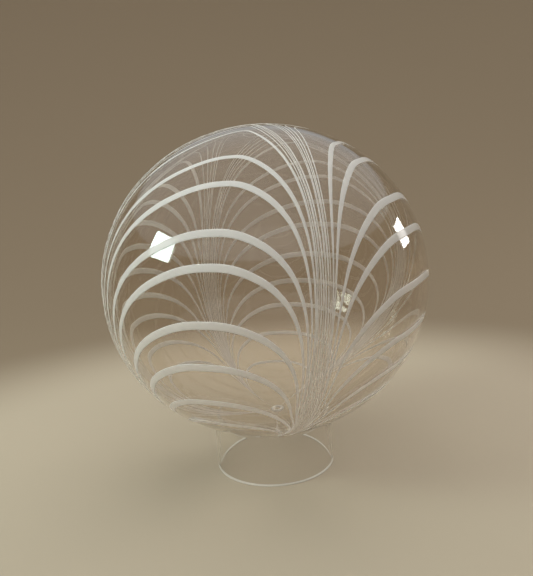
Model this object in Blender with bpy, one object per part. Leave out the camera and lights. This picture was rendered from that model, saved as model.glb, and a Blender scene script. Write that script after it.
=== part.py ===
"""A blown-glass witch ball standing in a short ring of clear glass.

The ball is sealed, a little flatter along its blowing axis than across it, and closed at the foot of that
axis by a small button of glass. It stands with the axis leaning back. Metres, +Z up, the origin at the middle
of the ring's underside, and the front towards -Y.
"""

import math

import bmesh
import bpy
from mathutils import Matrix, Vector

# The ball, in its own frame: the blowing axis runs along Z, with the seal at the lower end.
BALL_RADIUS = 0.075
BALL_HALF_DEPTH = 0.0712
BALL_LEAN = math.radians(8.1)
BALL_LEAN_HEADING = math.radians(76)

# The seal: a low button with a rounded lip and a shallow dimple.
SEAL_RADIUS = 0.0034
SEAL_RISE = 0.0010
SEAL_DIMPLE_RADIUS = 0.0015
SEAL_DIMPLE_DEPTH = 0.0007

# The ring stand.
RING_OUTER_RADIUS = 0.0285
RING_WALL = 0.0016
RING_HEIGHT = 0.0230
RING_EDGE_ROUND = 0.0005

# The ball stands clear of the ring by this much.
SEAT_GAP = 0.0003

TURN_STEPS = 72
BALL_RINGS = 38
LIP_STEPS = 5
EDGE_STEPS = 2
SEAT_CHECKS = 180
MERGE = 0.00001

CLEAR_GLASS = (0.90, 0.90, 0.87, 1.0)


def clear_scene():
    """Remove whatever the scene holds."""
    for item in list(bpy.data.objects):
        bpy.data.objects.remove(item, do_unlink=True)


def glass_material(name, roughness):
    """A clear glass finish."""
    material = bpy.data.materials.new(name)
    material.use_nodes = True
    shader = material.node_tree.nodes["Principled BSDF"]
    shader.inputs["Base Color"].default_value = CLEAR_GLASS
    shader.inputs["Roughness"].default_value = roughness
    shader.inputs["Metallic"].default_value = 0.0
    shader.inputs["Transmission Weight"].default_value = 1.0
    return material


def ball_outline():
    """The ball's half section from the top of its axis down to the middle of the seal's dimple."""
    seal_angle = math.asin(SEAL_RADIUS / BALL_RADIUS)
    outline = []
    for step in range(BALL_RINGS + 1):
        angle = (math.pi - seal_angle) * step / BALL_RINGS
        outline.append((BALL_RADIUS * math.sin(angle), BALL_HALF_DEPTH * math.cos(angle)))
    outline[0] = (0.0, BALL_HALF_DEPTH)
    root = outline[-1][1]
    lip_middle = (SEAL_RADIUS + SEAL_DIMPLE_RADIUS) / 2
    lip_half = (SEAL_RADIUS - SEAL_DIMPLE_RADIUS) / 2
    for step in range(1, LIP_STEPS):
        turn = math.pi * step / LIP_STEPS
        outline.append((lip_middle + lip_half * math.cos(turn), root - SEAL_RISE * math.sin(turn)))
    dimple_floor = root - SEAL_RISE + SEAL_DIMPLE_DEPTH
    outline.append((SEAL_DIMPLE_RADIUS / 2, dimple_floor))
    outline.append((0.0, dimple_floor))
    return outline


def ring_outline():
    """The ring's section, down the outer side first."""
    inner = RING_OUTER_RADIUS - RING_WALL
    return [(RING_OUTER_RADIUS, RING_HEIGHT), (RING_OUTER_RADIUS, 0.0), (inner, 0.0), (inner, RING_HEIGHT)]


def outline_object(name, outline, closed, material):
    """An object that holds a half section in the XZ plane as a chain of edges."""
    form = bmesh.new()
    points = [form.verts.new((across, 0.0, height)) for across, height in outline]
    for first, second in zip(points, points[1:]):
        form.edges.new((first, second))
    if closed:
        form.edges.new((points[-1], points[0]))
    mesh = bpy.data.meshes.new(name)
    form.to_mesh(mesh)
    form.free()
    mesh.materials.append(material)
    item = bpy.data.objects.new(name, mesh)
    bpy.context.scene.collection.objects.link(item)
    return item


def turn_about_z(item):
    """Turn a half section once round Z."""
    screw = item.modifiers.new("turn", "SCREW")
    screw.axis = "Z"
    screw.angle = math.tau
    screw.steps = TURN_STEPS
    screw.render_steps = TURN_STEPS
    screw.use_merge_vertices = True
    screw.merge_threshold = MERGE
    screw.use_smooth_shade = True


def round_edges(item, width):
    """Round the sharp edges of a turned piece."""
    bevel = item.modifiers.new("edge", "BEVEL")
    bevel.width = width
    bevel.segments = EDGE_STEPS
    bevel.limit_method = "ANGLE"
    bevel.angle_limit = math.radians(40)


def axis_turn():
    """The turn that takes the upright ball to its leaning stance, seal leading towards the heading."""
    seal = Vector((
        math.sin(BALL_LEAN) * math.cos(BALL_LEAN_HEADING),
        math.sin(BALL_LEAN) * math.sin(BALL_LEAN_HEADING),
        -math.cos(BALL_LEAN),
    ))
    return Vector((0.0, 0.0, -1.0)).rotation_difference(seal).to_matrix()


def underside_drop(turn, across, heading):
    """How far below its middle the leaning ball's underside lies, at a distance and heading from the middle."""
    stretch = turn @ Matrix.Diagonal((BALL_RADIUS, BALL_RADIUS, BALL_HALF_DEPTH))
    to_unit = stretch.inverted()
    start = to_unit @ Vector((across * math.cos(heading), across * math.sin(heading), 0.0))
    down = to_unit @ Vector((0.0, 0.0, -1.0))
    a = down.dot(down)
    b = 2 * start.dot(down)
    c = start.dot(start) - 1
    return (-b + math.sqrt(b * b - 4 * a * c)) / (2 * a)


def ball_middle_height(turn):
    """The height at which the ball's underside clears the ring's rounded inner lip by the seat gap."""
    lip_round = RING_EDGE_ROUND
    lip_centre = RING_OUTER_RADIUS - RING_WALL + lip_round
    reach = BALL_RADIUS
    slope = math.asin(lip_centre / (reach + lip_round))
    touch = lip_centre - lip_round * math.sin(slope)
    touch_height = RING_HEIGHT - lip_round + lip_round * math.cos(slope)
    drops = [underside_drop(turn, touch, math.tau * check / SEAT_CHECKS) for check in range(SEAT_CHECKS)]
    return touch_height + max(drops) + SEAT_GAP / math.cos(slope)


def build_ring_stand():
    """The short glass ring that the ball stands in."""
    ring = outline_object("ring_stand", ring_outline(), True, glass_material("ring_glass", 0.08))
    turn_about_z(ring)
    round_edges(ring, RING_EDGE_ROUND)
    return ring


def build_glass_ball():
    """The sealed ball, leaning as it stands in the ring."""
    ball = outline_object("glass_ball", ball_outline(), False, glass_material("ball_glass", 0.03))
    turn_about_z(ball)
    turn = axis_turn()
    ball.rotation_mode = "QUATERNION"
    ball.rotation_quaternion = turn.to_quaternion()
    ball.location = (0.0, 0.0, ball_middle_height(turn))
    return ball


def main():
    """Build both pieces."""
    clear_scene()
    build_ring_stand()
    build_glass_ball()


main()
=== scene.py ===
"""A sealed ball of clear blown glass with combed white threads, standing in a short clear ring.

Metres and degrees, +Z up, the front towards -Y. On the ball a place is given by its depth, the angle at the
ball's middle from the seal at the foot of the blowing axis, and its longitude, from the front to the right.
"""

import logging
import math
from dataclasses import dataclass, field
from enum import Enum
from typing import Callable

import bpy
from mathutils import Euler, Matrix, Vector


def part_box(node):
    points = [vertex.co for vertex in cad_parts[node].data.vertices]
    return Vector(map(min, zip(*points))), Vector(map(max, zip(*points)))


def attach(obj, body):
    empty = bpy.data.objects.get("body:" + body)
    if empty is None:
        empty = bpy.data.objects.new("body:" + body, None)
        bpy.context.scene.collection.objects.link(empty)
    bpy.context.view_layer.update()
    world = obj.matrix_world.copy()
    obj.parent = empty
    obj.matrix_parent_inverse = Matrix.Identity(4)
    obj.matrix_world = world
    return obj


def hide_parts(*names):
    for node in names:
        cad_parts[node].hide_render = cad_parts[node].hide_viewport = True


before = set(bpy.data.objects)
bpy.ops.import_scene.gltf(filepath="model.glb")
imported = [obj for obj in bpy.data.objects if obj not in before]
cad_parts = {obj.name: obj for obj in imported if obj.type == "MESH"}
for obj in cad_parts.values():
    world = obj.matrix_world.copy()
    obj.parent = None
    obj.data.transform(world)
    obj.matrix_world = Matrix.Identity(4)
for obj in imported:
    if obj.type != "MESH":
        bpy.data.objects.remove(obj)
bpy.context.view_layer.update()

log = logging.getLogger("witch_ball")

MM = 0.001
BODY = "root"
BALL_NODE = "glass_ball"
RING_NODE = "ring_stand"

Place = tuple[float, float]
Course = Callable[[float], Place]
Width = Callable[[float], float]


class Slot(Enum):
    """The record's finishes."""

    BALL = "ball_glass"
    RING = "ring_glass"
    THREAD = "white_thread"


class Hand(Enum):
    """The side of a loop that a leg goes down, as seen from outside the ball."""

    LEFT = -1
    RIGHT = 1


def deselect() -> None:
    """Leave nothing selected, so that an operator acts on the new piece alone."""
    bpy.ops.object.select_all(action="DESELECT")


def start_editing(piece: bpy.types.Object, mode: str) -> None:
    """Open one piece in edit mode with nothing in it selected.

    Args:
        piece: The mesh object to work on.
        mode: What is to be selected, VERT, EDGE or FACE.
    """
    deselect()
    piece.select_set(True)
    bpy.context.view_layer.objects.active = piece
    bpy.ops.object.mode_set(mode="EDIT")
    bpy.ops.mesh.select_mode(type=mode)
    bpy.ops.mesh.select_all(action="DESELECT")
    bpy.ops.object.mode_set(mode="OBJECT")


def apply_modifiers(piece: bpy.types.Object) -> None:
    """Apply all of a piece's modifiers in their order.

    Args:
        piece: The mesh object.
    """
    bpy.context.view_layer.objects.active = piece
    for modifier in list(piece.modifiers):
        bpy.ops.object.modifier_apply(modifier=modifier.name)


def settle(piece: bpy.types.Object) -> None:
    """Move a piece's place, turn and scale into its mesh.

    Args:
        piece: The mesh object.
    """
    deselect()
    piece.select_set(True)
    bpy.context.view_layer.objects.active = piece
    bpy.ops.object.transform_apply(location=True, rotation=True, scale=True)


def face_outward(piece: bpy.types.Object) -> None:
    """Turn a piece's faces outward, before its wall gets its thickness.

    Args:
        piece: The mesh object.
    """
    start_editing(piece, "FACE")
    bpy.ops.object.mode_set(mode="EDIT")
    bpy.ops.mesh.select_all(action="SELECT")
    bpy.ops.mesh.normals_make_consistent(inside=False)
    bpy.ops.object.mode_set(mode="OBJECT")


def open_tube(
    name: str,
    segments: int,
    radius: float,
    foot: float,
    height: float,
    wall: float,
) -> bpy.types.Object:
    """Make an upright tube, open at both ends, with its wall still a live modifier.

    Args:
        name: The tube's name.
        segments: The number of its sides.
        radius: Its outer radius.
        foot: How high its lower end lies.
        height: How tall it is.
        wall: How thick its wall is.

    Returns:
        The tube.
    """
    deselect()
    bpy.ops.mesh.primitive_cylinder_add(
        vertices=segments,
        radius=radius,
        depth=height,
        end_fill_type="NOTHING",
        location=(0.0, 0.0, foot + height / 2),
    )
    tube = bpy.context.active_object
    tube.name = name
    settle(tube)
    face_outward(tube)
    thickness = tube.modifiers.new("wall", "SOLIDIFY")
    thickness.thickness = wall
    thickness.offset = -1.0
    thickness.use_even_offset = True
    return tube


def joined(pieces: list[bpy.types.Object], name: str) -> bpy.types.Object:
    """Make one object of several.

    Args:
        pieces: The mesh objects to join.
        name: The name of the object that they become.

    Returns:
        The joined object.
    """
    deselect()
    for piece in pieces:
        piece.select_set(True)
    bpy.context.view_layer.objects.active = pieces[0]
    if len(pieces) > 1:
        bpy.ops.object.join()
    whole = bpy.context.view_layer.objects.active
    whole.name = name
    whole.data.name = name
    return whole


def dress(piece: bpy.types.Object, material: bpy.types.Material) -> None:
    """Give a finished piece its material and its place on the body.

    Args:
        piece: The finished piece.
        material: Its material.
    """
    piece.data.materials.clear()
    piece.data.materials.append(material)
    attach(piece, BODY)


def new_finish(name: str) -> tuple[bpy.types.Material, bpy.types.Node]:
    """Make a material with nodes.

    Args:
        name: The material's name.

    Returns:
        The material and its shader.
    """
    material = bpy.data.materials.new(name)
    material.use_nodes = True
    return material, material.node_tree.nodes["Principled BSDF"]


def add_relief(
    material: bpy.types.Material,
    scale: float,
    detail: float,
    strength: float,
    height: float,
) -> None:
    """Give a material fine relief from noise that stays fixed to the piece.

    Args:
        material: The material.
        scale: The noise's scale.
        detail: How many finer layers the noise has.
        strength: How strongly the relief shows.
        height: How high it stands.
    """
    nodes = material.node_tree.nodes
    links = material.node_tree.links
    place = nodes.new("ShaderNodeTexCoord")
    noise = nodes.new("ShaderNodeTexNoise")
    noise.inputs["Scale"].default_value = scale
    noise.inputs["Detail"].default_value = detail
    bump = nodes.new("ShaderNodeBump")
    bump.inputs["Strength"].default_value = strength
    bump.inputs["Distance"].default_value = height
    links.new(place.outputs["Object"], noise.inputs["Vector"])
    links.new(noise.outputs["Fac"], bump.inputs["Height"])
    links.new(bump.outputs["Normal"], nodes["Principled BSDF"].inputs["Normal"])


@dataclass(frozen=True)
class ClearGlass:
    """Clear blown glass with the faint waves of handwork in its surface."""

    name: str
    tint: tuple[float, float, float]
    roughness: float
    ior: float
    wave_scale: float
    wave_strength: float
    wave_detail: float = 1.0
    wave_height: float = 1.0 * MM

    def material(self) -> bpy.types.Material:
        """Make the finish as a new material.

        Returns:
            The material.
        """
        material, shader = new_finish(self.name)
        shader.inputs["Base Color"].default_value = (*self.tint, 1.0)
        shader.inputs["Roughness"].default_value = self.roughness
        shader.inputs["IOR"].default_value = self.ior
        shader.inputs["Transmission Weight"].default_value = 1.0
        add_relief(material, self.wave_scale, self.wave_detail, self.wave_strength, self.wave_height)
        return material


@dataclass(frozen=True)
class HighlightBandFinish:
    """A fine, even matt white with fine relief: the painted highlight of the ring's foot, standing in for
    the light that the clear glass carries down to its edge.
    """

    name: str
    colour: tuple[float, float, float]
    roughness: float
    grain_scale: float
    grain_strength: float
    grain_detail: float = 2.0
    grain_height: float = 0.1 * MM

    def material(self) -> bpy.types.Material:
        """Make the finish as a new material.

        Returns:
            The material.
        """
        material, shader = new_finish(self.name)
        shader.inputs["Base Color"].default_value = (*self.colour, 1.0)
        shader.inputs["Roughness"].default_value = self.roughness
        add_relief(material, self.grain_scale, self.grain_detail, self.grain_strength, self.grain_height)
        return material


@dataclass(frozen=True)
class ThreadGlass:
    """Milky white glass, drawn out, with streaks along the thread and some light passing through it.

    The streaks run from `thin`, where their noise is under `thin_below`, to `dense`, where it is over
    `dense_above`.
    """

    name: str
    dense: tuple[float, float, float]
    thin: tuple[float, float, float]
    roughness: float
    passing: tuple[float, float, float]
    passing_share: float
    ior: float = 1.3
    streak_scale: tuple[float, float, float] = (5.0, 22.0, 1.0)
    streak_detail: float = 4.0
    thin_below: float = 0.3
    dense_above: float = 0.6

    def material(self) -> bpy.types.Material:
        """Make the finish as a new material.

        Returns:
            The material.
        """
        material, shader = new_finish(self.name)
        nodes = material.node_tree.nodes
        links = material.node_tree.links
        shader.inputs["Roughness"].default_value = self.roughness
        shader.inputs["IOR"].default_value = self.ior
        along = nodes.new("ShaderNodeUVMap")
        stretch = nodes.new("ShaderNodeMapping")
        stretch.inputs["Scale"].default_value = self.streak_scale
        streaks = nodes.new("ShaderNodeTexNoise")
        streaks.inputs["Scale"].default_value = 1.0
        streaks.inputs["Detail"].default_value = self.streak_detail
        shades = nodes.new("ShaderNodeValToRGB")
        shades.color_ramp.elements[0].position = self.thin_below
        shades.color_ramp.elements[0].color = (*self.thin, 1.0)
        shades.color_ramp.elements[1].position = self.dense_above
        shades.color_ramp.elements[1].color = (*self.dense, 1.0)
        glow = nodes.new("ShaderNodeBsdfTranslucent")
        glow.inputs["Color"].default_value = (*self.passing, 1.0)
        blend = nodes.new("ShaderNodeMixShader")
        blend.inputs["Fac"].default_value = self.passing_share
        links.new(along.outputs["UV"], stretch.inputs["Vector"])
        links.new(stretch.outputs["Vector"], streaks.inputs["Vector"])
        links.new(streaks.outputs["Fac"], shades.inputs["Fac"])
        links.new(shades.outputs["Color"], shader.inputs["Base Color"])
        links.new(shader.outputs["BSDF"], blend.inputs[1])
        links.new(glow.outputs["BSDF"], blend.inputs[2])
        links.new(blend.outputs["Shader"], nodes["Material Output"].inputs["Surface"])
        return material


@dataclass(frozen=True)
class SweepPaint:
    """Matt greige paint, pale on the floor round the middle and deeper further out and up the wall: partly
    a darker wall colour, partly painted shade on the far floor and the wall, which get less light.
    """

    name: str
    floor: tuple[float, float, float]
    wall: tuple[float, float, float]
    pale_radius: float
    deep_radius: float
    roughness: float = 0.9
    specular: float = 0.1

    def material(self) -> bpy.types.Material:
        """Make the finish as a new material.

        Returns:
            The material.
        """
        material, shader = new_finish(self.name)
        nodes = material.node_tree.nodes
        links = material.node_tree.links
        shader.inputs["Roughness"].default_value = self.roughness
        shader.inputs["Specular IOR Level"].default_value = self.specular
        place = nodes.new("ShaderNodeTexCoord")
        distance = nodes.new("ShaderNodeVectorMath")
        distance.operation = "LENGTH"
        # Painted shade in part: the colour deepens with the distance from the middle.
        fade = nodes.new("ShaderNodeMapRange")
        fade.interpolation_type = "SMOOTHSTEP"
        fade.inputs["From Min"].default_value = self.pale_radius
        fade.inputs["From Max"].default_value = self.deep_radius
        shades = nodes.new("ShaderNodeValToRGB")
        shades.color_ramp.elements[0].color = (*self.floor, 1.0)
        shades.color_ramp.elements[1].color = (*self.wall, 1.0)
        links.new(place.outputs["Object"], distance.inputs[0])
        links.new(distance.outputs["Value"], fade.inputs["Value"])
        links.new(fade.outputs["Result"], shades.inputs["Fac"])
        links.new(shades.outputs["Color"], shader.inputs["Base Color"])
        return material


@dataclass
class BallForm:
    """The outer surface of the ball, as it leans in its ring."""

    radius: float = 75 * MM
    half_depth: float = 71.2 * MM
    lean: float = 8.1
    lean_heading: float = 76.0

    def seal_direction(self) -> Vector:
        """Work out the direction from the ball's middle to its seal.

        Returns:
            The direction, one unit long.
        """
        lean = math.radians(self.lean)
        heading = math.radians(self.lean_heading)
        across = math.sin(lean)
        return Vector((across * math.cos(heading), across * math.sin(heading), -math.cos(lean)))

    def turn(self) -> Matrix:
        """Return the turn that takes the upright ball to its leaning stance."""
        return Vector((0.0, 0.0, -1.0)).rotation_difference(self.seal_direction()).to_matrix()

    def middle(self) -> Vector:
        """Work out the ball's middle from the top of its CAD node.

        Returns:
            The middle.
        """
        lean = math.radians(self.lean)
        reach = math.hypot(self.radius * math.sin(lean), self.half_depth * math.cos(lean))
        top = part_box(BALL_NODE)[1].z
        return Vector((0.0, 0.0, top - reach))

    def upright(self, depth: float, longitude: float, sink: float = 0.0) -> Vector:
        """Work out a point of the upright ball.

        Args:
            depth: The angle from the seal.
            longitude: The angle from the front to the right.
            sink: How far below the surface the point lies.

        Returns:
            The point, about the ball's middle.
        """
        down = math.radians(depth)
        round_axis = math.radians(longitude)
        across = (self.radius - sink) * math.sin(down)
        height = -(self.half_depth - sink) * math.cos(down)
        return Vector((across * math.sin(round_axis), -across * math.cos(round_axis), height))

    def outward(self, point: Vector) -> Vector:
        """Work out the surface's outward direction at a point of the upright ball.

        Args:
            point: The point, about the ball's middle.

        Returns:
            The direction, one unit long.
        """
        wide = self.radius ** 2
        deep = self.half_depth ** 2
        return Vector((point.x / wide, point.y / wide, point.z / deep)).normalized()

    def stand(self, piece: bpy.types.Object) -> None:
        """Take a piece from the upright ball to the leaning one, in its mesh.

        Args:
            piece: The mesh object.
        """
        piece.rotation_mode = "QUATERNION"
        piece.rotation_quaternion = self.turn().to_quaternion()
        piece.location = self.middle()
        settle(piece)


@dataclass
class GlassBall:
    """The hollow ball of clear glass, closed at its foot by the seal."""

    form: BallForm
    finish: ClearGlass
    clearance: float = 0.14 * MM
    wall: float = 2.0 * MM
    segments: int = 144
    rings: int = 72
    seal_radius: float = 3.4 * MM
    seal_rise: float = 0.9 * MM
    dimple_radius: float = 1.5 * MM
    dimple_depth: float = 0.6 * MM
    lip_steps: int = 5
    smooth_angle: float = 50.0

    def build(self) -> bpy.types.Object:
        """Build the ball in place of its CAD node.

        Returns:
            The finished ball.
        """
        ball = self.blown_wall()
        self.press_seal(ball)
        bpy.ops.object.shade_smooth_by_angle(angle=math.radians(self.smooth_angle))
        self.form.stand(ball)
        dress(ball, self.finish.material())
        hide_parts(BALL_NODE)
        return ball

    def blown_wall(self) -> bpy.types.Object:
        """Make the upright hollow ball, its wall thickened inwards.

        Returns:
            The ball, without its seal.
        """
        deselect()
        radius = self.form.radius - self.clearance
        flatness = (self.form.half_depth - self.clearance) / radius
        bpy.ops.mesh.primitive_uv_sphere_add(segments=self.segments, ring_count=self.rings, radius=radius)
        ball = bpy.context.active_object
        ball.name = "blown_ball"
        ball.scale = (1.0, 1.0, flatness)
        settle(ball)
        face_outward(ball)
        wall = ball.modifiers.new("wall", "SOLIDIFY")
        wall.thickness = self.wall
        wall.offset = -1.0
        apply_modifiers(ball)
        return ball

    def press_seal(self, ball: bpy.types.Object) -> None:
        """Press the seal's low button and its dimple into the foot of the outer wall.

        Args:
            ball: The upright hollow ball.
        """
        radius = self.form.radius - self.clearance
        depth = self.form.half_depth - self.clearance
        root = -depth * math.cos(math.asin(self.seal_radius / radius))
        outer = -(depth - self.wall / 2)
        start_editing(ball, "FACE")
        for face in ball.data.polygons:
            face.select = face.center.z < outer
        bpy.ops.object.mode_set(mode="EDIT")
        bpy.ops.mesh.bisect(plane_co=(0.0, 0.0, root), plane_no=(0.0, 0.0, 1.0))
        bpy.ops.mesh.select_all(action="DESELECT")
        bpy.ops.object.mode_set(mode="OBJECT")
        for face in ball.data.polygons:
            face.select = face.center.z < root
        bpy.ops.object.mode_set(mode="EDIT")
        bpy.ops.mesh.dissolve_faces()
        lip_half = (self.seal_radius - self.dimple_radius) / 2
        for step in range(self.lip_steps):
            before = math.pi * step / self.lip_steps
            after = math.pi * (step + 1) / self.lip_steps
            inward = lip_half * (math.cos(before) - math.cos(after))
            rise = self.seal_rise * (math.sin(after) - math.sin(before))
            if step == self.lip_steps - 1:
                rise += self.seal_rise - self.dimple_depth
            bpy.ops.mesh.inset(thickness=inward, depth=0.0)
            bpy.ops.transform.translate(value=(0.0, 0.0, -rise))
        bpy.ops.mesh.inset(thickness=self.dimple_radius / 2, depth=0.0)
        bpy.ops.object.mode_set(mode="OBJECT")


@dataclass
class RingStand:
    """The short ring of clear glass that the ball stands in."""

    finish: ClearGlass
    wall: float = 1.6 * MM
    edge_round: float = 0.5 * MM
    segments: int = 144
    edge_steps: int = 4
    sharp_angle: float = 40.0

    def build(self) -> bpy.types.Object:
        """Build the ring in place of its CAD node.

        Returns:
            The finished ring.
        """
        low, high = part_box(RING_NODE)
        radius = (high.x - low.x) / 2
        ring = open_tube("clear_ring", self.segments, radius, low.z, high.z - low.z, self.wall)
        edge = ring.modifiers.new("edge", "BEVEL")
        edge.width = self.edge_round
        edge.segments = self.edge_steps
        edge.limit_method = "ANGLE"
        edge.angle_limit = math.radians(self.sharp_angle)
        apply_modifiers(ring)
        bpy.ops.object.shade_smooth_by_angle(angle=math.radians(self.sharp_angle))
        dress(ring, self.finish.material())
        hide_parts(RING_NODE)
        return ring


@dataclass
class FootHighlightBand:
    """The ring's flat underside as a thin band of matt white: a painted highlight, standing in for the
    light that the clear ring carries down to its foot, so that it shows as a pale line all round.
    """

    ring: RingStand
    finish: HighlightBandFinish
    height: float = 0.22 * MM

    def build(self) -> bpy.types.Object:
        """Build the band of painted highlight, which shows in the corners that the ring's round edges
        leave.

        Returns:
            The finished piece.
        """
        low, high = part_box(RING_NODE)
        radius = (high.x - low.x) / 2
        foot = open_tube("painted_foot_highlight", self.ring.segments, radius, low.z, self.height, self.ring.wall)
        apply_modifiers(foot)
        bpy.ops.object.shade_smooth_by_angle(angle=math.radians(self.ring.sharp_angle))
        dress(foot, self.finish.material())
        return foot


@dataclass(frozen=True)
class PullLine:
    """A line down which the soft threads were combed, from the crown to the seal.

    Its longitude at the ball's waist is `waist`. Below there it grows by `drift` for each radian and by
    `bend` for that squared, and between the depths `foot_top` and `foot_end` by `foot` more.
    """

    waist: float
    drift: float
    bend: float
    foot: float = 0.0
    foot_top: float = 50.0
    foot_end: float = 25.0

    def longitude(self, depth: float) -> float:
        """Work out the line's longitude.

        Args:
            depth: The depth at which it is wanted.

        Returns:
            The longitude.
        """
        below = math.radians(90.0 - depth)
        turn = min(max((self.foot_top - depth) / (self.foot_top - self.foot_end), 0.0), 1.0)
        aside = self.foot * turn ** 2 * (3.0 - 2.0 * turn)
        return self.waist + self.drift * below + self.bend * below ** 2 + aside


@dataclass(frozen=True)
class Leg:
    """One side of a panel's loops: the pull line that they near, and how they fall towards it.

    `reach` is the depth over which a loop turns down, and `shoulder` how square the turn is. The left line
    of the panel that crosses the front is taken a whole turn lower.
    """

    hand: Hand
    line: PullLine
    reach: float
    shoulder: float
    a_turn_lower: bool = False

    def line_longitude(self, depth: float) -> float:
        """Return the pull line's longitude at a depth."""
        return self.line.longitude(depth) - (360.0 if self.a_turn_lower else 0.0)

    def nearness(self, fall: float, reach_factor: float) -> float:
        """Return how near the loop has come to its pull line, from 0 at the crest to 1."""
        return (1.0 - math.exp(-fall / (self.reach * reach_factor))) ** (1.0 / self.shoulder)


@dataclass
class StraightThread:
    """A straight, closed thread of glass, one unit long and one in radius, that the loops are laid from."""

    sides: int = 12
    steps: int = 120
    thread: bpy.types.Object = field(init=False)

    def build(self) -> None:
        """Build the straight thread along Z from 0 to 1."""
        deselect()
        bpy.ops.mesh.primitive_cylinder_add(
            vertices=self.sides,
            radius=1.0,
            depth=1.0,
            end_fill_type="NGON",
            location=(0.0, 0.0, 0.5),
        )
        self.thread = bpy.context.active_object
        settle(self.thread)
        start_editing(self.thread, "EDGE")
        mesh = self.thread.data
        for edge in mesh.edges:
            first, second = edge.vertices
            rise = mesh.vertices[first].co.z - mesh.vertices[second].co.z
            edge.select = abs(rise) > 0.5
        bpy.ops.object.mode_set(mode="EDIT")
        bpy.ops.mesh.subdivide(number_cuts=self.steps - 1)
        bpy.ops.object.mode_set(mode="OBJECT")

    def lay(
        self,
        form: BallForm,
        course: Course,
        width: Width,
        thickness: float,
        sink: float,
    ) -> bpy.types.Object:
        """Lay a copy of the straight thread along its course on the ball.

        Args:
            form: The ball's surface.
            course: Depth and longitude at each share of the thread's length.
            width: The thread's width at each share of its length.
            thickness: How deep the thread goes into the wall.
            sink: How far its outer face lies below the ball's surface.

        Returns:
            The laid thread, on the upright ball.
        """
        laid = self.thread.copy()
        laid.data = self.thread.data.copy()
        bpy.context.scene.collection.objects.link(laid)
        steps = self.steps
        points = [form.upright(*course(step / steps), sink) for step in range(steps + 1)]
        stations = []
        for step, point in enumerate(points):
            ahead = points[min(step + 1, steps)] - points[max(step - 1, 0)]
            out = form.outward(point)
            across = out.cross(ahead).normalized()
            stations.append((point, across * (width(step / steps) / 2), out * (thickness / 2)))
        for vertex in laid.data.vertices:
            point, across, out = stations[round(vertex.co.z * steps)]
            vertex.co = point + across * vertex.co.x + out * (vertex.co.y - 1.0)
        return laid

    def remove(self) -> None:
        """Remove the straight thread once the last loop is laid."""
        bpy.data.objects.remove(self.thread, do_unlink=True)


@dataclass(frozen=True)
class Thread:
    """One loop of the spiral: its crest's depth, its widths, and how far its legs keep from the lines.

    That distance is the one at the ball's waist, and it closes up towards the seal.
    """

    crest: float
    crest_width: float
    leg_width: float
    offset: float


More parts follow.
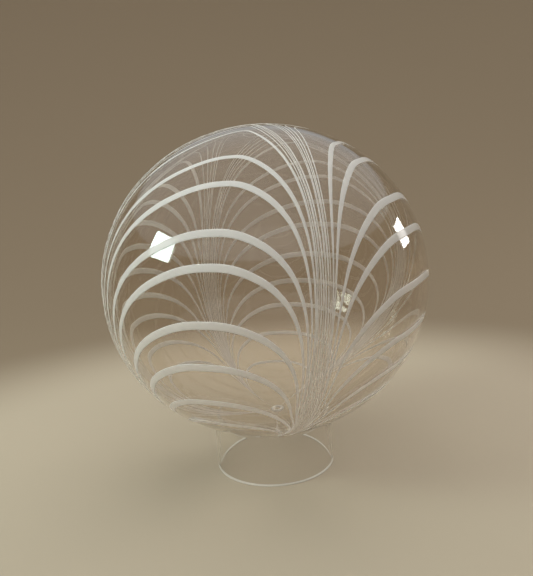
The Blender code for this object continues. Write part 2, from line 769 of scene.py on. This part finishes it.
@dataclass
class ThreadPanel:
    """The loops between two pull lines: turns of the white spiral, combed down on both sides.

    A loop's crest lies at `crest_share` of the way from the left pull line to the right one at the ball's
    waist, and `crest_drift` more for each radian above it. The crown's small turns are drawn out the
    furthest, into fine strands next to the pull lines. The other loops' legs lie side by side beyond them.
    A leg's reach holds for a loop whose crest is at `reach_crest`. It grows with the crest's depth by
    `reach_power`, and a loop's width with its nearness by `drawing_power`.
    """

    name: str
    left: Leg
    right: Leg
    crest_share: float
    crest_drift: float
    crest_depths: tuple[float, ...]
    crown_depths: tuple[float, ...]
    crest_width: float = 3.1 * MM
    leg_width: float = 0.5 * MM
    crown_width: float = 1.2 * MM
    strand_width: float = 0.33 * MM
    strand_spacing: float = 0.46 * MM
    leg_spacing: float = 0.62 * MM
    pairing: float = 0.5
    thickness: float = 0.14 * MM
    sink: float = 0.08 * MM
    crest_round: float = 2.0
    seal_edge: float = 2.9
    closing_depth: float = 58.0
    closing_power: float = 2.2
    thinning_depth: float = 50.0
    thinnest_depth: float = 8.0
    reach_crest: float = 97.4
    reach_power: float = 0.63
    drawing_power: int = 3

    def leg(self, share: float) -> Leg:
        """Return the leg that a share of a loop's length belongs to."""
        return self.right if share > 0.5 else self.left

    def crest_longitude(self, crest: float) -> float:
        """Work out a crest's longitude.

        Args:
            crest: The crest's depth.

        Returns:
            The longitude.
        """
        left = self.left.line_longitude(crest)
        right = self.right.line_longitude(crest)
        share = self.crest_share + self.crest_drift * math.radians(crest - 90.0)
        return left + (right - left) * share

    def slot_of(self, rank: int) -> float:
        """Return how many spacings a leg keeps from its pull line, each odd one close to the one before."""
        return rank + 0.5 - self.pairing * (rank % 2)

    def threads(self) -> list[Thread]:
        """List the panel's loops.

        Returns:
            The crown's small loops, and then the others from the top down.
        """
        threads = []
        for rank, crest in enumerate(self.crown_depths):
            offset = self.slot_of(rank) * self.strand_spacing
            threads.append(Thread(crest, self.crown_width, self.strand_width, offset))
        strands = len(self.crown_depths) * self.strand_spacing
        for rank, crest in enumerate(self.crest_depths):
            offset = strands + self.slot_of(rank) * self.leg_spacing
            threads.append(Thread(crest, self.crest_width, self.leg_width, offset))
        return threads

    def fall(self, thread: Thread, share: float) -> float:
        """Return how far below its crest's depth a loop has come, before the crest's rounding."""
        return (thread.crest - self.seal_edge) * (2.0 * share - 1.0) ** 2

    def depth(self, thread: Thread, share: float) -> float:
        """Return a loop's depth at a share of its length."""
        return thread.crest - math.hypot(self.fall(thread, share), self.crest_round)

    def nearness(self, thread: Thread, share: float) -> float:
        """Return how near a loop has come to its pull line at a share of its length."""
        reach_factor = (thread.crest / self.reach_crest) ** self.reach_power
        return self.leg(share).nearness(self.fall(thread, share), reach_factor)

    def place(self, form: BallForm, thread: Thread, share: float) -> Place:
        """Work out a loop's place at a share of its length.

        Args:
            form: The ball's surface.
            thread: The loop.
            share: From 0 at the left leg's foot to 1 at the right one's, with the crest at a half.

        Returns:
            The depth and longitude.
        """
        leg = self.leg(share)
        depth = self.depth(thread, share)
        closing = min(1.0, depth / self.closing_depth) ** self.closing_power
        aside = -leg.hand.value * math.degrees(thread.offset / form.radius) * closing
        start = self.crest_longitude(thread.crest)
        end = leg.line_longitude(depth) + aside
        return depth, start + (end - start) * self.nearness(thread, share)

    def width_at(self, thread: Thread, share: float) -> float:
        """Work out a loop's width, which is thinner again on its way to the seal.

        Args:
            thread: The loop.
            share: From 0 at the left leg's foot to 1 at the right one's.

        Returns:
            The width.
        """
        drawn = self.nearness(thread, share) ** self.drawing_power
        width = thread.crest_width + (thread.leg_width - thread.crest_width) * drawn
        across = math.sin(math.radians(max(self.depth(thread, share), self.thinnest_depth)))
        return width * min(1.0, across / math.sin(math.radians(self.thinning_depth)))

    def build(
        self,
        form: BallForm,
        straight: StraightThread,
        material: bpy.types.Material,
    ) -> bpy.types.Object:
        """Build the panel's loops as one piece.

        Args:
            form: The ball's surface.
            straight: The straight thread that the loops are laid from.
            material: The white glass.

        Returns:
            The finished piece.
        """
        loops = []
        for thread in self.threads():
            loops.append(straight.lay(
                form,
                lambda share: self.place(form, thread, share),
                lambda share: self.width_at(thread, share),
                self.thickness,
                self.sink,
            ))
        piece = joined(loops, self.name)
        form.stand(piece)
        deselect()
        piece.select_set(True)
        bpy.ops.object.shade_smooth()
        dress(piece, material)
        return piece


@dataclass
class SealRing:
    """The ring of white thread that closes round the seal's dimple, inside its button."""

    radius: float = 2.35 * MM
    thickness: float = 2.1 * MM
    height: float = 0.45 * MM
    segments: int = 48
    sides: int = 14

    def build(self, form: BallForm, material: bpy.types.Material) -> bpy.types.Object:
        """Build the ring.

        Args:
            form: The ball's surface.
            material: The white glass.

        Returns:
            The finished piece.
        """
        deselect()
        bpy.ops.mesh.primitive_torus_add(
            location=(0.0, 0.0, -form.half_depth + self.height),
            major_segments=self.segments,
            minor_segments=self.sides,
            major_radius=self.radius,
            minor_radius=self.thickness / 2,
        )
        ring = bpy.context.active_object
        ring.name = "thread_seal_ring"
        settle(ring)
        bpy.ops.object.shade_smooth()
        form.stand(ring)
        dress(ring, material)
        return ring


class LampSight(Enum):
    """Where a lamp is seen mirrored: in every surface, in outer ones only, or nowhere.

    A lamp of the last kind only gives light, and clear glass throws no shadow from it.
    """

    ALL_GLOSS = "all gloss"
    OUTER_GLOSS = "outer gloss"
    LIGHT_ONLY = "light only"


@dataclass(frozen=True)
class Lamp:
    """A soft rectangular lamp that faces the ball.

    Its azimuth runs from the front to the right, and its distance is taken from the ball's middle.
    """

    name: str
    azimuth: float
    elevation: float
    distance: float
    size: tuple[float, float]
    radiance: float
    colour: tuple[float, float, float]
    sight: LampSight = LampSight.ALL_GLOSS

    def hang(self, target: Vector) -> bpy.types.Object:
        """Hang the lamp.

        Args:
            target: The point that it faces.

        Returns:
            The lamp.
        """
        data = bpy.data.lights.new(self.name, "AREA")
        data.shape = "RECTANGLE"
        data.size, data.size_y = self.size
        data.energy = self.radiance * math.pi * self.size[0] * self.size[1]
        data.color = self.colour
        lamp = bpy.data.objects.new(self.name, data)
        bpy.context.scene.collection.objects.link(lamp)
        azimuth = math.radians(self.azimuth)
        elevation = math.radians(self.elevation)
        away = Vector((
            math.sin(azimuth) * math.cos(elevation),
            -math.cos(azimuth) * math.cos(elevation),
            math.sin(elevation),
        ))
        lamp.location = target + away * self.distance
        lamp.rotation_euler = away.to_track_quat("Z", "Y").to_euler()
        lamp.visible_camera = False
        lamp.visible_glossy = self.sight is not LampSight.LIGHT_ONLY
        lamp.visible_transmission = self.sight is LampSight.ALL_GLOSS
        return lamp


@dataclass
class Studio:
    """A plain pale floor that sweeps up all round, soft lamps and the camera."""

    paint: SweepPaint
    lamps: tuple[Lamp, ...]
    floor_sides: int = 128
    flat_radius: float = 0.42
    sweep_radius: float = 0.9
    sweep_turn: float = 75.0
    sweep_steps: int = 20
    lens: float = 35.56
    sensor: float = 36.0
    eye: tuple[float, float, float] = (0.0005, -0.2672, 0.1287)
    look_down: float = 9.09
    roll: float = 3.49
    clip_start: float = 0.01
    dome: tuple[float, float, float] = (0.99, 0.99, 0.98)
    dome_low: float = 0.28
    dome_high: float = 0.9
    dome_peak: tuple[float, float, float] = (0.0, -0.35, 0.937)

    def build_sweep(self) -> bpy.types.Object:
        """Build the floor and the wall that it curves up into.

        Returns:
            The floor and wall as one object.
        """
        deselect()
        bpy.ops.mesh.primitive_circle_add(
            vertices=self.floor_sides,
            radius=self.flat_radius,
            fill_type="NGON",
        )
        sweep = bpy.context.active_object
        sweep.name = "studio_sweep"
        start_editing(sweep, "EDGE")
        for edge in sweep.data.edges:
            edge.select = True
        bpy.ops.object.mode_set(mode="EDIT")
        radius = self.flat_radius
        height = 0.0
        for step in range(1, self.sweep_steps + 1):
            turn = math.radians(self.sweep_turn) * step / self.sweep_steps
            next_radius = self.flat_radius + self.sweep_radius * math.sin(turn)
            next_height = self.sweep_radius * (1.0 - math.cos(turn))
            bpy.ops.mesh.extrude_edges_move(
                TRANSFORM_OT_translate={"value": (0.0, 0.0, next_height - height)},
            )
            factor = next_radius / radius
            bpy.ops.transform.resize(value=(factor, factor, 1.0))
            radius = next_radius
            height = next_height
        bpy.ops.object.mode_set(mode="OBJECT")
        bpy.ops.object.shade_smooth()
        sweep.data.materials.append(self.paint.material())
        return sweep

    def light(self, target: Vector) -> None:
        """Hang the lamps and set the dome of soft light, brightest overhead in front.

        Args:
            target: The point that the lamps face.
        """
        for lamp in self.lamps:
            lamp.hang(target)
        world = bpy.data.worlds.new("soft dome")
        world.use_nodes = True
        nodes = world.node_tree.nodes
        links = world.node_tree.links
        background = nodes["Background"]
        background.inputs["Color"].default_value = (*self.dome, 1.0)
        direction = nodes.new("ShaderNodeTexCoord")
        facing = nodes.new("ShaderNodeVectorMath")
        facing.operation = "DOT_PRODUCT"
        facing.inputs[1].default_value = self.dome_peak
        brightness = nodes.new("ShaderNodeMapRange")
        brightness.inputs["To Min"].default_value = self.dome_low
        brightness.inputs["To Max"].default_value = self.dome_high
        links.new(direction.outputs["Generated"], facing.inputs[0])
        links.new(facing.outputs["Value"], brightness.inputs["Value"])
        links.new(brightness.outputs["Result"], background.inputs["Strength"])
        bpy.context.scene.world = world

    def pass_light(self, clear_pieces: list[bpy.types.Object]) -> None:
        """Let the clear pieces throw no shadow from the lamps that only give light.

        Args:
            clear_pieces: The pieces of clear glass.
        """
        clear = bpy.data.collections.new("clear_pieces")
        for piece in clear_pieces:
            clear.objects.link(piece)
        for entry in clear.collection_objects:
            entry.light_linking.link_state = "EXCLUDE"
        for lamp in self.lamps:
            if lamp.sight is LampSight.LIGHT_ONLY:
                bpy.data.objects[lamp.name].light_linking.blocker_collection = clear

    def set_camera(self) -> None:
        """Set the camera at the photograph's angle."""
        data = bpy.data.cameras.new("camera")
        data.lens = self.lens
        data.sensor_width = self.sensor
        data.sensor_fit = "AUTO"
        data.clip_start = self.clip_start
        camera = bpy.data.objects.new("camera", data)
        bpy.context.scene.collection.objects.link(camera)
        tilt = Euler((math.radians(90.0 - self.look_down), 0.0, 0.0)).to_matrix()
        roll = Matrix.Rotation(math.radians(-self.roll), 3, "Z")
        camera.rotation_euler = (tilt @ roll).to_euler()
        camera.location = self.eye
        bpy.context.scene.camera = camera

    def set_rendering(self) -> None:
        """Let light through enough walls of glass, and keep colours as they are."""
        scene = bpy.context.scene
        scene.cycles.max_bounces = 64
        scene.cycles.transmission_bounces = 64
        scene.cycles.glossy_bounces = 32
        scene.cycles.diffuse_bounces = 16
        scene.cycles.transparent_max_bounces = 8
        scene.cycles.caustics_reflective = True
        scene.cycles.caustics_refractive = True
        scene.cycles.blur_glossy = 0.3
        scene.cycles.sample_clamp_indirect = 6.0
        scene.cycles.use_denoising = True
        scene.cycles.denoiser = "OPENIMAGEDENOISE"
        scene.view_settings.view_transform = "Standard"


# The ball's warm tint is partly the glass's own colour and partly painted shade: it darkens the floor seen
# through the ball in place of the shadow the ball would throw from the lamps that only give light.
BALL_GLASS = ClearGlass(
    "ball glass",
    tint=(0.925, 0.885, 0.84),
    roughness=0.0,
    ior=1.46,
    wave_scale=14.0,
    wave_strength=0.12,
)
RING_GLASS = ClearGlass(
    "ring glass",
    tint=(0.99, 0.985, 0.975),
    roughness=0.0,
    ior=1.1,
    wave_scale=30.0,
    wave_strength=0.1,
)
# Painted highlight: the pale band at the ring's foot stands in for the light that the clear ring carries
# down to its edge.
FOOT_HIGHLIGHT = HighlightBandFinish(
    "painted foot highlight",
    colour=(0.52, 0.485, 0.42),
    roughness=0.55,
    grain_scale=2500.0,
    grain_strength=0.3,
)
WHITE_GLASS = ThreadGlass(
    "white glass",
    dense=(0.97, 0.975, 0.96),
    thin=(0.92, 0.925, 0.91),
    roughness=0.04,
    passing=(0.99, 0.95, 0.905),
    passing_share=0.65,
)
# Paler round the middle, deeper further out and up the wall: partly a darker wall colour, partly painted
# shade where less light falls.
GREIGE = SweepPaint(
    "greige paint",
    floor=(0.305, 0.257, 0.19),
    wall=(0.158, 0.121, 0.081),
    pale_radius=0.17,
    deep_radius=0.34,
)

FRONT_LINE = PullLine(waist=15.2, drift=-7.5, bend=0.9, foot=-9.0)
RIGHT_LINE = PullLine(waist=106.2, drift=1.5, bend=16.6)
BACK_LINE = PullLine(waist=205.2, drift=7.5, bend=2.2)
LEFT_LINE = PullLine(waist=288.7, drift=16.9, bend=-13.3)

PANELS = (
    ThreadPanel(
        "threads_front_left",
        left=Leg(Hand.LEFT, LEFT_LINE, reach=22.3, shoulder=1.3, a_turn_lower=True),
        right=Leg(Hand.RIGHT, FRONT_LINE, reach=10.3, shoulder=1.3),
        crest_share=0.609,
        crest_drift=0.109,
        crest_depths=(168.4, 150.4, 139.0, 123.0, 113.0, 96.6, 83.1, 68.5, 55.1),
        crown_depths=(200.0, 194.0, 188.0, 182.0, 176.0),
    ),
    ThreadPanel(
        "threads_front_right",
        left=Leg(Hand.LEFT, FRONT_LINE, reach=9.1, shoulder=1.3),
        right=Leg(Hand.RIGHT, RIGHT_LINE, reach=15.8, shoulder=1.77),
        crest_share=0.367,
        crest_drift=0.028,
        crest_depths=(150.5, 140.5, 124.5, 113.0, 96.6, 80.9, 68.3, 55.6),
        crown_depths=(180.0, 176.5, 173.0, 169.5, 166.0),
    ),
    ThreadPanel(
        "threads_back_right",
        left=Leg(Hand.LEFT, RIGHT_LINE, reach=10.6, shoulder=1.35),
        right=Leg(Hand.RIGHT, BACK_LINE, reach=11.1, shoulder=1.3),
        crest_share=0.513,
        crest_drift=-0.23,
        crest_depths=(153.5, 137.7, 127.9, 113.4, 101.6, 86.7, 73.7, 62.0, 48.1, 33.1),
        crown_depths=(170.0, 167.0, 164.0, 161.0, 158.0),
        thinning_depth=85.0,
    ),
    ThreadPanel(
        "threads_back_left",
        left=Leg(Hand.LEFT, BACK_LINE, reach=14.4, shoulder=1.3),
        right=Leg(Hand.RIGHT, LEFT_LINE, reach=26.0, shoulder=1.46),
        crest_share=0.619,
        crest_drift=0.016,
        crest_depths=(147.4, 133.9, 125.6, 116.1, 105.7, 95.0, 84.0, 74.3, 60.7, 48.7),
        crown_depths=(172.0, 167.5, 163.0, 158.5, 154.0),
        thinning_depth=85.0,
    ),
)

LAMPS = (
    Lamp(
        "key",
        azimuth=-15.0,
        elevation=78.0,
        distance=1.6,
        size=(1.6, 1.6),
        radiance=2.0,
        colour=(0.94, 0.985, 1.0),
        sight=LampSight.LIGHT_ONLY,
    ),
    Lamp(
        "fill",
        azimuth=0.0,
        elevation=18.0,
        distance=1.1,
        size=(2.4, 1.2),
        radiance=0.25,
        colour=(1.0, 0.97, 0.93),
    ),
    Lamp(
        "rim",
        azimuth=170.0,
        elevation=58.0,
        distance=1.5,
        size=(1.6, 1.0),
        radiance=1.8,
        colour=(1.0, 0.96, 0.92),
        sight=LampSight.LIGHT_ONLY,
    ),
    Lamp(
        "window left",
        azimuth=-74.5,
        elevation=25.5,
        distance=0.85,
        size=(0.27, 0.20),
        radiance=25.0,
        colour=(0.82, 1.0, 0.95),
    ),
    Lamp(
        "window right",
        azimuth=110.5,
        elevation=13.5,
        distance=0.85,
        size=(0.16, 0.16),
        radiance=16.0,
        colour=(1.0, 0.98, 0.95),
        sight=LampSight.OUTER_GLOSS,
    ),
)


def main() -> None:
    """Build the ball, its threads, its ring and the studio."""
    logging.basicConfig(level=logging.INFO, format="%(name)s: %(message)s")
    form = BallForm()
    studio = Studio(GREIGE, LAMPS)
    studio.set_camera()
    studio.build_sweep()
    studio.light(form.middle())
    studio.set_rendering()
    ring = RingStand(RING_GLASS)
    clear_pieces = [GlassBall(form, BALL_GLASS).build(), ring.build()]
    studio.pass_light(clear_pieces)
    # The band at the ring's foot is painted highlight.
    pieces = [*clear_pieces, FootHighlightBand(ring, FOOT_HIGHLIGHT).build()]
    straight = StraightThread()
    straight.build()
    white = WHITE_GLASS.material()
    for panel in PANELS:
        pieces.append(panel.build(form, straight, white))
    straight.remove()
    pieces.append(SealRing().build(form, white))
    for piece in pieces:
        log.info("%s: %d faces", piece.name, len(piece.data.polygons))


if __name__ == "__main__":
    main()
